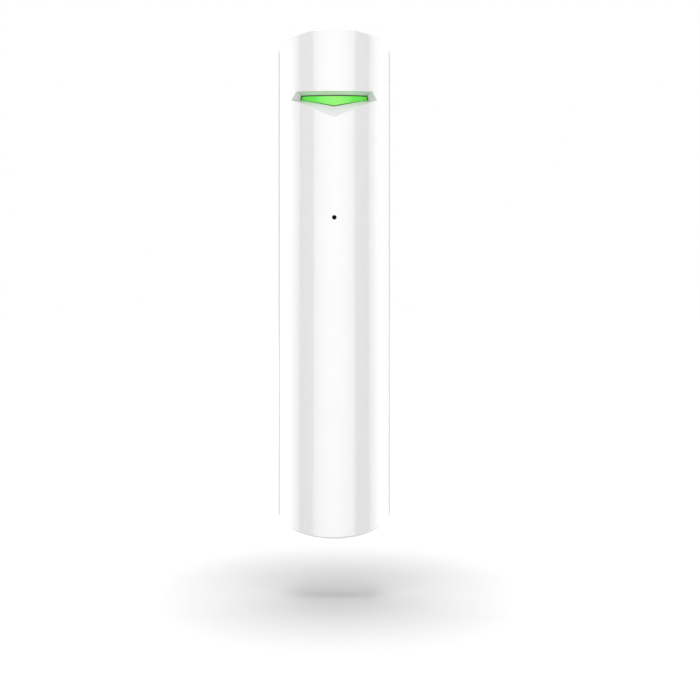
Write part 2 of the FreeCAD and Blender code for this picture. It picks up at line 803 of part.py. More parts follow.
def mounting_bracket():
    body = new_body("mounting_bracket")
    outline_pad(body, "bracket_plate", "front",
                span("-bracket_half", "bracket_half", "bracket_foot", "bracket_top"), "bracket_thickness")
    dress(body, "Fillet", "Radius", "bracket_round", lambda edge: along(edge, FreeCAD.Vector(0, 1, 0)))
    sketch = new_sketch(body, "hooks", "side", hook_left())
    for stem in ("upper_hook_z", "lower_hook_z"):
        add_outline(sketch, [
            ("-bracket_thickness / 2", stem),
            ("-(grip_depth + hook_thickness)", stem),
            ("-(grip_depth + hook_thickness)", f"{stem} + hook_stem + hook_lip"),
            ("-grip_depth", f"{stem} + hook_stem + hook_lip"),
            ("-grip_depth", f"{stem} + hook_stem"),
            ("-bracket_thickness / 2", f"{stem} + hook_stem"),
        ])
    mirror_across(body, [pad(body, sketch, "hook_width")])
    holes = [("0", screw, "screw_hole_diameter") for screw in ("upper_screw_z", "lower_screw_z")]
    disc_pocket(body, "screw_holes", "front", holes, "2 * bracket_thickness", offset="3 * bracket_thickness / 2")
    wire_slot = span("-wire_slot_width / 2", "wire_slot_width / 2",
                     "board_z + window_clearance", "board_z + window_clearance + wire_slot_height")
    outline_pocket(body, "tab_and_wire_cuts", "front", perforations() + [wire_slot], "2 * bracket_thickness",
                   offset="3 * bracket_thickness / 2")

    def is_hole_mouth(edge):
        at_front = all(abs(corner.Y + value("bracket_thickness")) < TOLERANCE for corner in edge.Vertexes)
        return at_front and isinstance(edge.Curve, Part.Circle) and edge.isClosed()
    dress(body, "Chamfer", "Size", "countersink", is_hole_mouth)
    return body


# Cell and contacts

def battery_cell():
    radius = "battery_diameter / 2"
    top = "battery_length - cap_height"
    body = turned("battery_cell", "front", [
        ("0", "0"),
        (radius, "0"),
        (radius, f"{top} - crimp_drop - crimp_depth"),
        (f"{radius} - crimp_depth", f"{top} - crimp_drop"),
        (radius, f"{top} - crimp_drop + crimp_depth"),
        (radius, f"{top} - cell_shoulder"),
        (f"{radius} - cell_shoulder", top),
        ("cap_diameter / 2", top),
        ("cap_diameter / 2", "battery_length"),
        ("0", "battery_length"),
    ])
    stand_at(body, y="-axis_depth", z="battery_z")
    return body


def battery_contact_positive():
    body = new_body("battery_contact_positive")
    outline_pad(body, "positive_profile", "side", [
        ("-board_front", "contact_z"),
        ("-board_front", "board_z + contact_overlap"),
        ("-(board_front + contact_thickness)", "board_z + contact_overlap"),
        ("-(board_front + contact_thickness)", "contact_z + contact_thickness"),
        ("-(axis_depth + contact_reach)", "contact_z + contact_thickness"),
        ("-(axis_depth + contact_reach)", "contact_z"),
    ], "contact_width", middle=True)
    return body


def battery_contact_negative():
    """A leaf spring under the cell; a strip along the tray's floor joins it to the board."""
    body = new_body("battery_contact_negative")
    seat = "foot_z + bulkhead"
    front = "axis_depth + contact_reach"
    turn = "spring_gap / 3"
    outline_pad(body, "leaf_profile", "side", [
        ("-chassis_front", seat),
        (f"-({front})", seat),
        (f"-({front})", f"{seat} + {turn}"),
        ("-axis_depth", "battery_z"),
        ("-(axis_depth - contact_reach / 2)", f"battery_z - {turn}"),
        ("-(axis_depth - contact_reach / 2)", f"battery_z - {turn} - strip_thickness"),
        ("-axis_depth", "battery_z - strip_thickness"),
        (f"-({front} - strip_thickness)", f"{seat} + {turn} - strip_thickness / 2"),
        (f"-({front} - strip_thickness)", f"{seat} + strip_thickness"),
        ("-chassis_front", f"{seat} + strip_thickness"),
    ], "strip_inset + strip_width + contact_width / 2", offset="-contact_width / 2")
    end = "board_z + terminal_place / 2"
    outline_pad(body, "strip_profile", "side", [
        ("-chassis_front", seat),
        ("-chassis_front", end),
        ("-board_back", end),
        ("-board_back", f"{end} - strip_thickness"),
        ("-(chassis_front + strip_thickness)", f"{end} - strip_thickness"),
        ("-(chassis_front + strip_thickness)", seat),
    ], "strip_width", offset="strip_inset")
    return body


# Board and what it carries

def main_board():
    body = new_body("main_board")
    outline_pad(body, "board_outline", "front",
                span("-board_half", "board_half", "board_z", "board_top"),
                "board_thickness", offset="board_back")
    dress(body, "Fillet", "Radius", "board_round", lambda edge: along(edge, FreeCAD.Vector(0, 1, 0)))
    holes = [(f"{sign}boss_x", "boss_z", "screw_diameter + 4 * screw_clearance") for sign in ("", "-")]
    disc_pocket(body, "board_holes", "front", holes, "2 * board_thickness",
                offset="board_front + board_thickness / 2")
    return body


def board_screws():
    """Two thread-forming screws that hold the board on the tray's bosses."""
    screw = turned("board_screw", "top", [
        ("0", "0"),
        ("screw_head_diameter / 2 - screw_head_height / 3", "0"),
        ("screw_head_diameter / 2", "screw_head_height / 3"),
        ("screw_head_diameter / 2", "screw_head_height"),
        ("screw_diameter / 2", "screw_head_height"),
        ("screw_diameter / 2", "screw_length"),
        ("0", "screw_length"),
    ])
    cross = [rectangle("0", "0", "drive_slot", "screw_head_diameter / 2"),
             rectangle("0", "0", "screw_head_diameter / 2", "drive_slot")]
    for index, corners in enumerate(cross):
        outline_pocket(screw, f"drive_{index}", "front", [corners], "screw_head_height / 2")
    stand_at(screw, x="boss_x", y="-(board_front + screw_head_height)", z="boss_z")
    return pair("board_screws", screw)


def microphone_capsule():
    radius = "capsule_diameter / 2"
    body = turned("microphone_capsule", "top", [
        ("pinhole_diameter / 2", "0"),
        (radius, "0"),
        (radius, "capsule_length - capsule_rim"),
        (f"{radius} - capsule_rim", "capsule_length"),
        (f"{radius} - 2 * capsule_rim", "capsule_length"),
        (f"{radius} - 2 * capsule_rim", "capsule_length - capsule_rim"),
        ("0", "capsule_length - capsule_rim"),
        ("0", "capsule_rim"),
        ("pinhole_diameter / 2", "capsule_rim"),
    ])
    leads = [(f"{sign}lead_pitch / 2", "0", "lead_diameter") for sign in ("", "-")]
    disc_pad(body, "leads", "front", leads, "boot_front - board_front - capsule_length + 1.5 * capsule_rim",
             offset="1.5 * capsule_rim - capsule_length", backwards=True)
    stand_at(body, y="-boot_front", z="microphone_z")
    return body


def microphone_boot():
    """A rubber sleeve that holds the capsule against the mesh and stands on the board."""
    bore = "capsule_diameter / 2 + capsule_clearance"
    back = "boot_front - board_front"
    body = turned("microphone_boot", "top", [
        (bore, "0"),
        ("boot_radius", "0"),
        ("boot_radius", back),
        (f"{bore} - boot_lip", back),
        (f"{bore} - boot_lip", "capsule_length + capsule_clearance"),
        (bore, "capsule_length + capsule_clearance"),
    ])
    stand_at(body, y="-boot_front", z="microphone_z")
    return body


def acoustic_mesh():
    body = turned("acoustic_mesh", "top", [
        ("0", "0"), ("capsule_diameter / 2", "0"),
        ("capsule_diameter / 2", "mesh_thickness"), ("0", "mesh_thickness")])
    stand_at(body, y="-seat_depth", z="microphone_z")
    return body


def indicator_led():
    body = new_body("indicator_led")
    outline_pad(body, "led_base", "front", rectangle("0", "led_z", "led_width", "led_length"),
                "led_height", offset="board_front")
    disc_pad(body, "led_lens", "front", [("0", "led_z", "led_lens_diameter")],
             "led_dome", offset="board_front + led_height")
    top = value("led_front")
    dress(body, "Chamfer", "Size", "led_dome / 2",
          lambda edge: all(abs(corner.Y + top) < TOLERANCE for corner in edge.Vertexes))
    return body


def radio_shield():
    """A pressed can with vent holes, open towards the board."""
    body = new_body("radio_shield")
    middle = "shield_z + shield_length / 2"
    outline_pad(body, "can_outline", "front", rectangle("0", middle, "shield_width", "shield_length"),
                "shield_height", offset="board_front")
    dress(body, "Fillet", "Radius", "shield_round", lambda edge: along(edge, FreeCAD.Vector(0, 1, 0)))
    top = value("board_front + shield_height")
    dress(body, "Chamfer", "Size", "shield_sheet / 2",
          lambda edge: all(abs(corner.Y + top) < TOLERANCE for corner in edge.Vertexes))
    hollow = rectangle("0", middle, "shield_width - 2 * shield_sheet", "shield_length - 2 * shield_sheet")
    outline_pocket(body, "can_hollow", "front", [hollow], "shield_height - shield_sheet",
                   offset="board_front", forwards=True)
    vents = [(f"{column} * shield_width / 5", f"{middle} + {row} * shield_length / 5", "vent_diameter")
             for column in (-1, 0, 1) for row in (-1, 1)]
    disc_pocket(body, "vents", "front", vents, "2 * shield_sheet",
                offset="board_front + shield_height + shield_sheet")
    return body


def controller_chip():
    body = new_body("controller_chip")
    outline_pad(body, "chip_outline", "front", rectangle("-chip_inset", "chip_z + chip_width / 2",
                "chip_width", "chip_width"), "chip_thickness", offset="board_front")
    top = value("board_front + chip_thickness")
    dress(body, "Chamfer", "Size", "chip_thickness / 6",
          lambda edge: all(abs(corner.Y + top) < TOLERANCE for corner in edge.Vertexes))
    return body


def crystal():
    body = new_body("crystal")
    outline_pad(body, "crystal_outline", "front", rectangle("chip_inset", "chip_z + chip_width / 2",
                "crystal_width", "crystal_length"), "crystal_thickness", offset="board_front")
    top = value("board_front + crystal_thickness")
    dress(body, "Chamfer", "Size", "crystal_thickness / 4",
          lambda edge: all(abs(corner.Y + top) < TOLERANCE for corner in edge.Vertexes))
    return body


def antenna():
    """A bent strip that stands off the board on two legs and runs on past one of them."""
    body = new_body("antenna")
    left = "-antenna_width / 2"
    sheet = "antenna_sheet"
    foot = "-board_front"
    roof = "-(board_front + antenna_height)"
    under = f"-(board_front + antenna_height - {sheet})"
    feed = f"{left} + antenna_feed"
    outline_pad(body, "antenna_profile", "top", [
        (left, foot), (left, roof), ("antenna_width / 2", roof), ("antenna_width / 2", under),
        (f"{feed} + {sheet}", under), (f"{feed} + {sheet}", foot), (feed, foot), (feed, under),
        (f"{left} + {sheet}", under), (f"{left} + {sheet}", foot)], "antenna_strip", offset="antenna_z")
    return body


def chip_components():
    """Small parts in a row on each side of the boot, as one group."""
    boxes = []
    for side in ("", "-"):
        for row in range(4):
            box = doc.addObject("Part::Box", "passive")
            bind(box, "Length", "passive_length")
            bind(box, "Width", "passive_height")
            bind(box, "Height", "passive_width")
            bind(box, "Placement.Base.x", f"{side}(board_half + boot_radius) / 2 - passive_length / 2")
            bind(box, "Placement.Base.y", "-(board_front + passive_height)")
            bind(box, "Placement.Base.z", f"microphone_z + ({row} - 2) * 2 * passive_width")
            boxes.append(box)
    return group("chip_components", boxes)


# Tamper switch

def tamper_switch_body():
    body = new_body("tamper_switch_body")
    outline_pad(body, "tamper_outline", "front", rectangle("0", "tamper_z", "tamper_width", "tamper_width"),
                "board_back - tamper_back", offset="tamper_back")
    disc_pocket(body, "tamper_mouth", "front",
                [("0", "tamper_z", "plunger_diameter + 2 * plunger_clearance")], "board_back - tamper_back",
                offset="tamper_back", forwards=True)
    disc_pocket(body, "tamper_bore", "front",
                [("0", "tamper_z", "plunger_flange + 2 * plunger_clearance")],
                "board_back - tamper_back - tamper_roof", offset="tamper_back + tamper_roof", forwards=True)
    dress(body, "Fillet", "Radius", "tamper_roof", lambda edge: along(edge, FreeCAD.Vector(0, 1, 0)))
    return body


def tamper_plunger():
    """A stepped pin: its flange stays in the switch, and its tip reaches the bracket's tab."""
    body = turned("tamper_plunger", "top", [
        ("0", "-flange_front"),
        ("plunger_flange / 2", "-flange_front"),
        ("plunger_flange / 2", "-flange_back"),
        ("plunger_diameter / 2", "-flange_back"),
        ("plunger_diameter / 2", "-(bracket_thickness + plunger_tip_gap + plunger_diameter / 6)"),
        ("plunger_diameter / 3", "-(bracket_thickness + plunger_tip_gap)"),
        ("0", "-(bracket_thickness + plunger_tip_gap)"),
    ])
    stand_at(body, z="tamper_z")
    return body


def tamper_dome():
    """A snap dome of thin sheet before the plunger's flange, with room to go as far as the board."""
    radius = "dome_diameter / 2"
    body = turned("tamper_dome", "top", [
        ("0", "0"),
        (radius, "-dome_rise"),
        (radius, "-dome_rise - dome_sheet"),
        ("0", "-dome_sheet"),
    ])
    stand_at(body, y="-(flange_front + dome_clearance)", z="tamper_z")
    return body


# Power switch and terminals

def power_switch_body():
    body = new_body("power_switch_body")
    outline_pad(body, "power_outline", "front", rectangle("0", "power_z", "power_width", "power_length"),
                "power_height", offset="power_back")
    channel = rectangle("0", "power_z", "power_travel + slider_width + 2 * slider_clearance",
                        "slider_length + 2 * slider_clearance")
    outline_pocket(body, "power_channel", "front", [channel], "slider_root + slider_clearance",
                   offset="power_back", forwards=True)
    return body


def power_switch_slider():
    """The nub at its lower stop, with finger ridges on its end."""
    body = new_body("power_switch_slider")
    centre = "-power_travel / 2"
    end = "chassis_back + slider_sink"
    outline_pad(body, "slider_outline", "front", rectangle(centre, "power_z", "slider_width", "slider_length"),
                f"power_back + slider_root - ({end})", offset=end)
    grooves = [rectangle(f"{centre} + {step} * slider_width / 4", "power_z", "slider_width / 8",
                         "2 * slider_length") for step in (-1, 0, 1)]
    outline_pocket(body, "finger_grooves", "front", grooves, "slider_width / 8", offset=end, forwards=True)
    return body


def terminal_block():
    body = new_body("terminal_block")
    outline_pad(body, "terminal_outline", "front",
                rectangle("0", "terminal_z", "terminal_width", "terminal_length"),
                "terminal_height", offset="terminal_back")
    places = [f"{sign}terminal_pitch / 2" for sign in ("", "-")]
    wells = [(x, "terminal_z", "terminal_screw_diameter + 4 * screw_clearance") for x in places]
    disc_pocket(body, "screw_wells", "front", wells, "terminal_well", offset="terminal_back", forwards=True)
    entries = [rectangle(x, "-(terminal_back + terminal_well + wire_entry / 2)", "wire_entry", "wire_entry")
               for x in places]
    outline_pocket(body, "wire_entries", "top", entries, "wire_entry_length",
                   offset="terminal_z - terminal_length / 2", forwards=True)
    return body


def terminal_screws():
    """Two slotted screws, sunk in the wells of the block."""
    radius = "terminal_screw_diameter / 2"
    screw = turned("terminal_screw", "top", [
        ("0", "0"), (f"{radius} / 2", "0"), (f"{radius} / 2", "terminal_well / 2"),
        (radius, "terminal_well / 2"), (radius, "terminal_well"), ("0", "terminal_well")])
    outline_pocket(screw, "screwdriver_slot", "front",
                   [rectangle("0", "0", "terminal_screw_diameter * 2", "drive_slot")], "terminal_well / 4",
                   offset="-terminal_well * 3 / 4")
    stand_at(screw, x="terminal_pitch / 2", y="-(terminal_back + terminal_well + screw_clearance)", z="terminal_z")
    return pair("terminal_screws", screw)


def terminal_clamps():
    """Two bent leaves in the wire entries, one under each screw."""
    clamp = new_body("terminal_clamp")
    width = "wire_entry - 2 * contact_clearance"
    roof = "terminal_back + terminal_well + contact_clearance"
    floor = "terminal_back + terminal_well + wire_entry - contact_clearance"
    low = "terminal_z - terminal_length / 2 + clamp_sheet"
    high = "terminal_z - terminal_length / 2 + wire_entry_length - contact_clearance"
    outline_pad(clamp, "clamp_profile", "side", [
        (f"-({roof})", low), (f"-({roof})", high), (f"-({floor})", high), (f"-({floor})", low),
        (f"-({floor} - clamp_sheet)", low), (f"-({floor} - clamp_sheet)", f"{high} - clamp_sheet"),
        (f"-({roof} + clamp_sheet)", f"{high} - clamp_sheet"), (f"-({roof} + clamp_sheet)", low)],
        width, offset=f"terminal_pitch / 2 - ({width}) / 2")
    return pair("terminal_clamps", clamp)


sizes = fill_sheet("Size", SIZES, str)
places = fill_sheet("Place", {alias: "" for alias in PLACES}, str)
for row, (alias, formula) in enumerate(PLACES.items(), start=1):
    places.set(f"B{row}", "=" + full(formula).replace("Place.", ""))
doc.recompute()

PIECES = [
    front_housing, light_guide, rear_chassis, mounting_bracket, battery_cell, battery_contact_positive,
    battery_contact_negative, main_board, board_screws, microphone_capsule, microphone_boot, acoustic_mesh,
    indicator_led, radio_shield, controller_chip, crystal, antenna, chip_components, tamper_switch_body,
    tamper_plunger, tamper_dome, power_switch_body, power_switch_slider, terminal_block, terminal_screws,
    terminal_clamps,
]
nodes = [make() for make in PIECES]
doc.recompute()

for thing in doc.Objects:
    if "Invalid" in thing.State or "Error" in thing.State:
        raise RuntimeError(f"{thing.Name} did not compute: {thing.State}")
for node in nodes:
    if node.Shape.isNull() or not node.Shape.isValid():
        raise RuntimeError(f"{node.Label} has no valid shape")

os.makedirs("parts", exist_ok=True)
for node in nodes:
    node.Shape.exportStep(f"parts/{node.Label}.step")
    box = node.Shape.BoundBox
    print(f"{node.Label}: {len(node.Shape.Solids)} solid, {node.Shape.Volume:.2f} mm3, "
          f"x {box.XMin:.2f} {box.XMax:.2f} y {box.YMin:.2f} {box.YMax:.2f} z {box.ZMin:.2f} {box.ZMax:.2f}")
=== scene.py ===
import json
import math

import bpy
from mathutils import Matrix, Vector


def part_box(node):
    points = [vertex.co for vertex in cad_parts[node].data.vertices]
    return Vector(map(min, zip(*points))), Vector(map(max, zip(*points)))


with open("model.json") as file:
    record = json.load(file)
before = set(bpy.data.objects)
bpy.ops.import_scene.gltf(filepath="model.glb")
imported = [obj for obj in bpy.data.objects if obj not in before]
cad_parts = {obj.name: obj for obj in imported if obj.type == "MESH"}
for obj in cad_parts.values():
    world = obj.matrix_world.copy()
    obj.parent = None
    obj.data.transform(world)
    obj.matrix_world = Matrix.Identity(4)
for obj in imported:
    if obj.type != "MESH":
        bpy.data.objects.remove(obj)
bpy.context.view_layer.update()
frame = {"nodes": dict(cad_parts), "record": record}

# Where things are, taken from the frame; the axis is that of the case's round front
HOUSING_LOW, HOUSING_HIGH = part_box("front_housing")
BODY_RADIUS = (HOUSING_HIGH.x - HOUSING_LOW.x) / 2
AXIS_Y = HOUSING_LOW.y + BODY_RADIUS
_, LENS_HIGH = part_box("light_guide")

MM = 0.001
QUARTER_TURN = math.radians(90)


class Wiring:
    """Adds nodes to one node tree and joins them. A source is another node's socket or a value."""

    def __init__(self, tree):
        self.tree = tree

    def feed(self, socket, source):
        if isinstance(source, bpy.types.NodeSocket):
            self.tree.links.new(source, socket)
        else:
            socket.default_value = source

    def node(self, kind, inputs=None, **settings):
        made = self.tree.nodes.new(kind)
        for name, setting in settings.items():
            setattr(made, name, setting)
        for socket, source in (inputs or {}).items():
            self.feed(made.inputs[socket], source)
        return made

    def math(self, operation, *sources):
        return self.node("ShaderNodeMath", dict(enumerate(sources)), operation=operation).outputs[0]

    def axes(self, vector):
        """The X, Y and Z of a vector."""
        return self.node("ShaderNodeSeparateXYZ", {"Vector": vector}).outputs

    def ramp(self, source, stops, interpolation="LINEAR"):
        """A colour ramp; stops are pairs of place and colour."""
        made = self.node("ShaderNodeValToRGB", {"Fac": source})
        made.color_ramp.interpolation = interpolation
        elements = made.color_ramp.elements
        while len(elements) < len(stops):
            elements.new(0.5)
        for element, (place, colour) in zip(elements, stops):
            element.position = place
            element.color = (*colour, 1)
        return made.outputs["Color"]

    def grey_ramp(self, source, stops):
        """A ramp between greys; stops are pairs of place and level."""
        return self.ramp(source, [(place, (level, level, level)) for place, level in stops])

    def span(self, source, low, high, start=0.0, end=1.0):
        """Stretches a value of start to end over low to high."""
        return self.node("ShaderNodeMapRange", {
            "Value": source, "From Min": start, "From Max": end,
            "To Min": low, "To Max": high}).outputs["Result"]

    def seen_directly(self):
        """1 for rays from the camera and for what gloss and glass show, 0 for the rest."""
        path = self.node("ShaderNodeLightPath").outputs
        shown = self.math("MAXIMUM", path["Is Camera Ray"], path["Is Glossy Ray"])
        return self.math("MAXIMUM", shown, path["Is Transmission Ray"])


# Materials

# Radius to which edges look worn round, and how many rays feel for an edge near a point
EDGE_WEAR = 0.1 * MM
EDGE_SAMPLES = 6

# Noise stretched by these runs in lines along z, x or y
UP = (30, 30, 1)
ACROSS = (1, 30, 30)
INWARD = (20, 1, 20)


class Finish(Wiring):
    """A material of the part: one Principled shader and the patterns that feed it."""

    def __init__(self, slot):
        self.material = bpy.data.materials.new(slot)
        self.material.use_nodes = True
        super().__init__(self.material.node_tree)
        self.shader = self.tree.nodes["Principled BSDF"]
        self.place = self.node("ShaderNodeTexCoord").outputs["Object"]

    def set(self, **values):
        for name, source in values.items():
            self.feed(self.shader.inputs[name.replace("_", " ")], source)

    def noise(self, size, detail=2.0, stretch=(1, 1, 1)):
        """Cloudy noise whose blotches are about size metres wide."""
        mapped = self.node("ShaderNodeMapping", {"Vector": self.place, "Scale": stretch})
        return self.node("ShaderNodeTexNoise", {
            "Vector": mapped.outputs["Vector"], "Scale": 1 / size, "Detail": detail}).outputs["Fac"]

    def tint(self, colour, variation, size):
        """The colour, a little darker and lighter in blotches."""
        darker = [c * (1 - variation) for c in colour]
        lighter = [min(1, c * (1 + variation)) for c in colour]
        self.set(Base_Color=self.ramp(self.noise(size, detail=3), [(0.3, darker), (0.7, lighter)]))

    def grain(self, height, depth):
        """A fine relief of the surface, with the edges a little worn round."""
        worn = self.node("ShaderNodeBevel", {"Radius": EDGE_WEAR}, samples=EDGE_SAMPLES)
        bump = self.node("ShaderNodeBump", {
            "Height": height, "Distance": depth, "Strength": 1.0,
            "Normal": worn.outputs["Normal"]})
        self.set(Normal=bump.outputs["Normal"])


def moulded(slot, colour, roughness, grain_size, grain_depth, coat=0.0):
    """Plastic or rubber from a mould: an even colour, a fine skin and slightly uneven gloss."""
    finish = Finish(slot)
    finish.tint(colour, variation=0.012, size=6 * MM)
    uneven = finish.span(finish.noise(3 * MM), low=roughness * 0.85, high=roughness * 1.15)
    finish.set(Roughness=uneven)
    finish.grain(finish.noise(grain_size, detail=3), grain_depth)
    if coat:
        finish.set(Coat_Weight=coat, Coat_Roughness=0.06)
    return finish.material


def metal(slot, colour, roughness, stretch):
    """Sheet or turned metal with fine drawn lines along one way."""
    finish = Finish(slot)
    finish.set(Metallic=1.0)
    finish.tint(colour, variation=0.06, size=1.2 * MM)
    lines = finish.noise(0.15 * MM, detail=4, stretch=stretch)
    finish.set(Roughness=finish.span(lines, low=roughness * 0.7, high=roughness * 1.4))
    finish.grain(lines, depth=0.004 * MM)
    return finish.material


def shell_plastic(slot):
    """The case: smooth, bright white moulding with a soft gloss."""
    finish = Finish(slot)
    finish.tint((0.83, 0.83, 0.83), variation=0.006, size=9 * MM)
    finish.set(Roughness=finish.span(finish.noise(4 * MM), low=0.10, high=0.14), IOR=1.5)
    finish.set(Coat_Weight=1.0, Coat_Roughness=0.03, Coat_IOR=1.5)
    finish.grain(finish.noise(0.5 * MM), depth=0.0006 * MM)
    return finish.material


def lit_lens(slot):
    """Clear green, lit from behind: brightest over the lamp and darker to its ends. Its front
    glows, and its sides hardly."""
    finish = Finish(slot)
    from_middle = finish.math("ABSOLUTE", finish.axes(finish.place)["X"])
    glow = finish.ramp(finish.math("DIVIDE", from_middle, LENS_HIGH.x), [
        (0.0, (0.18, 0.61, 0.06)), (0.35, (0.12, 0.63, 0.05)),
        (0.8, (0.08, 0.58, 0.04)), (1.0, (0.06, 0.38, 0.03))])
    normal = finish.node("ShaderNodeNewGeometry").outputs["True Normal"]
    to_front = finish.math("MULTIPLY", finish.axes(normal)["Y"], -1.0)
    lit = finish.span(to_front, low=0.08, high=1.0, start=0.2, end=0.5)
    uneven = finish.span(finish.noise(0.8 * MM), low=0.08, high=0.14)
    finish.set(Base_Color=(0.03, 0.22, 0.02, 1), Roughness=uneven)
    finish.set(Emission_Color=glow, Emission_Strength=lit)
    finish.grain(finish.noise(0.4 * MM), depth=0.001 * MM)
    return finish.material


def board_mask(slot):
    """Green solder mask with the tracks showing as paler lines under it."""
    finish = Finish(slot)
    turned = finish.node("ShaderNodeMapping", {
        "Vector": finish.place, "Rotation": (QUARTER_TURN, 0, 0)}).outputs["Vector"]
    tracks = finish.node("ShaderNodeTexBrick", {
        "Vector": turned, "Scale": 420.0, "Mortar Size": 0.03,
        "Color1": (0.010, 0.075, 0.030, 1), "Color2": (0.014, 0.090, 0.036, 1),
        "Mortar": (0.030, 0.170, 0.070, 1)}).outputs
    uneven = finish.span(finish.noise(2 * MM), low=0.25, high=0.4)
    finish.set(Base_Color=tracks["Color"], Roughness=uneven)
    finish.grain(tracks["Fac"], depth=0.02 * MM)
    return finish.material


def cell_sleeve(slot):
    """A dark film round the cell, with a brassy band by the cap and a grey ring at each end."""
    finish = Finish(slot)
    low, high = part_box("battery_cell")
    share = finish.span(finish.axes(finish.place)["Z"], low=0.0, high=1.0, start=low.z, end=high.z)
    grey, film, band = (0.45, 0.45, 0.44), (0.03, 0.035, 0.05), (0.50, 0.36, 0.10)
    rings = [(0.0, grey), (0.02, film), (0.75, band), (0.89, grey)]
    uneven = finish.span(finish.noise(2 * MM), low=0.22, high=0.34)
    finish.set(Base_Color=finish.ramp(share, rings, "CONSTANT"), Roughness=uneven, Coat_Weight=0.4)
    finish.grain(finish.noise(1.5 * MM, detail=3), depth=0.01 * MM)
    return finish.material


def woven_mesh(slot):
    """Fine black cloth, woven of threads across and up."""
    finish = Finish(slot)
    across, up = [
        finish.node("ShaderNodeTexWave", {"Vector": finish.place, "Scale": 1800.0},
                    bands_direction=way).outputs["Fac"]
        for way in ("X", "Z")]
    weave = finish.math("MAXIMUM", across, up)
    black = finish.ramp(weave, [(0.2, (0.004, 0.004, 0.004)), (0.9, (0.03, 0.03, 0.032))])
    finish.set(Base_Color=black, Roughness=finish.span(weave, low=0.6, high=0.85))
    finish.grain(weave, depth=0.03 * MM)
    return finish.material


# For each slot what makes its material, with the values for it: colour, roughness, size and
# depth of the grain and coat of a moulded one; colour, roughness and way of the lines of a metal
FINISHES = {
    "white_shell": (shell_plastic,),
    "green_lens": (lit_lens,),
    "white_tray": (moulded, (0.78, 0.78, 0.77), 0.42, 0.35 * MM, 0.006 * MM),
    "cell_sleeve": (cell_sleeve,),
    "nickel": (metal, (0.66, 0.64, 0.60), 0.28, UP),
    "circuit_board": (board_mask,),
    "zinc_steel": (metal, (0.58, 0.60, 0.63), 0.32, INWARD),
    "capsule_can": (metal, (0.78, 0.78, 0.77), 0.3, INWARD),
    "boot_rubber": (moulded, (0.018, 0.018, 0.019), 0.6, 0.3 * MM, 0.01 * MM),
    "mesh_cloth": (woven_mesh,),
    "lamp": (moulded, (0.45, 0.80, 0.42), 0.2, 0.6 * MM, 0.002 * MM, 0.5),
    "tin_can": (metal, (0.70, 0.70, 0.69), 0.3, ACROSS),
    "chip_black": (moulded, (0.014, 0.014, 0.016), 0.5, 0.2 * MM, 0.006 * MM),
    "switch_black": (moulded, (0.02, 0.02, 0.022), 0.45, 0.3 * MM, 0.006 * MM),
    "switch_nub": (moulded, (0.66, 0.65, 0.62), 0.4, 0.3 * MM, 0.005 * MM),
    "dome_steel": (metal, (0.68, 0.67, 0.65), 0.22, INWARD),
    "block_green": (moulded, (0.012, 0.16, 0.05), 0.4, 0.3 * MM, 0.006 * MM),
}
MATERIALS = {slot: kind(slot, *values) for slot, (kind, *values) in FINISHES.items()}

for part in frame["record"]["subparts"]:
    slots = frame["nodes"][part["node"]].data.materials
    slots.clear()
    slots.append(MATERIALS[part["material_slot"]])


# Studio: a pale floor, white surroundings and soft lamps. A level of 1 is white.

# The floor lies this far under the case. It is one grey where it is seen, and a darker one for
# the light that it sends back up.
FLOOR_GAP = 10.8 * MM
FLOOR_SIZE = 12
FLOOR_SHOWN = 0.73
FLOOR_BOUNCE = 0.5

# Away from the part a painted glow lifts the floor to white: pairs of distance and level. Distances
# along y are squeezed by a factor, so the glow leaves an oval of painted shade round the part, and
# the real shadow lies in that oval.
PAINTED_FLOOR_LIFT = [(0.015, 0.0), (0.024, 0.07), (0.036, 0.18), (0.8, 1.0)]
LIFT_REACH = 0.8
LIFT_SQUEEZE = 0.33

# Level of the surroundings as light on the part
AMBIENT = 0.17

# Upright lamps stand round the part. Their levels are pairs of angle from the front, in degrees,
# and level; those of the front lamp are the same to both sides.
LAMP_DISTANCE = 1.2
LAMP_LOW = -0.35
LAMP_HIGH = 0.46
LAMP_MIDDLE = (LAMP_LOW + LAMP_HIGH) / 2
FRONT_LEVELS = [(0, 2.35), (20, 2.1), (29, 1.85), (36, 1.5), (43, 1.3)]
SIDE_LEVELS = [(77, 1.15), (87, 1.48), (98, 2.3), (140, 2.0)]
REAR_LEVELS = [(140, 1.5), (148, 1.3)]

# The top lamp is long from front to back and narrow across, with pairs of share of its length
# and level
TOP_LENGTH = 3.8
TOP_WIDTH = 0.62
TOP_X = -0.03
TOP_Z = 1.1
TOP_LEVELS = [
    (0.0, 4.3), (0.25, 4.3), (0.37, 3.6), (0.46, 2.1),
    (0.54, 2.1), (0.63, 3.6), (0.75, 4.3), (1.0, 4.3)]

# Grey cards behind the part to either side, between these angles, are seen in the gloss of its
# outermost edges only
FLAG_FROM = 153
FLAG_TO = 173
FLAG_LEVEL = 0.78


def put(name, data, location, rotation):
    """A new object in the scene."""
    made = bpy.data.objects.new(name, data)
    made.location = location
    made.rotation_euler = rotation
    bpy.context.scene.collection.objects.link(made)
    return made


def studio_card(name, width, height, location, rotation, material):
    """A flat card with one material, put in the scene."""
    mesh = bpy.data.meshes.new(name)
    x, y = width / 2, height / 2
    mesh.from_pydata([(-x, -y, 0), (x, -y, 0), (x, y, 0), (-x, y, 0)], [], [(0, 1, 2, 3)])
    mesh.materials.append(material)
    card = put(name, mesh, location, rotation)
    return card


def bare_material(name):
    """A material without nodes, and the wiring to add them."""
    material = bpy.data.materials.new(name)
    material.use_nodes = True
    material.node_tree.nodes.clear()
    return material, Wiring(material.node_tree)


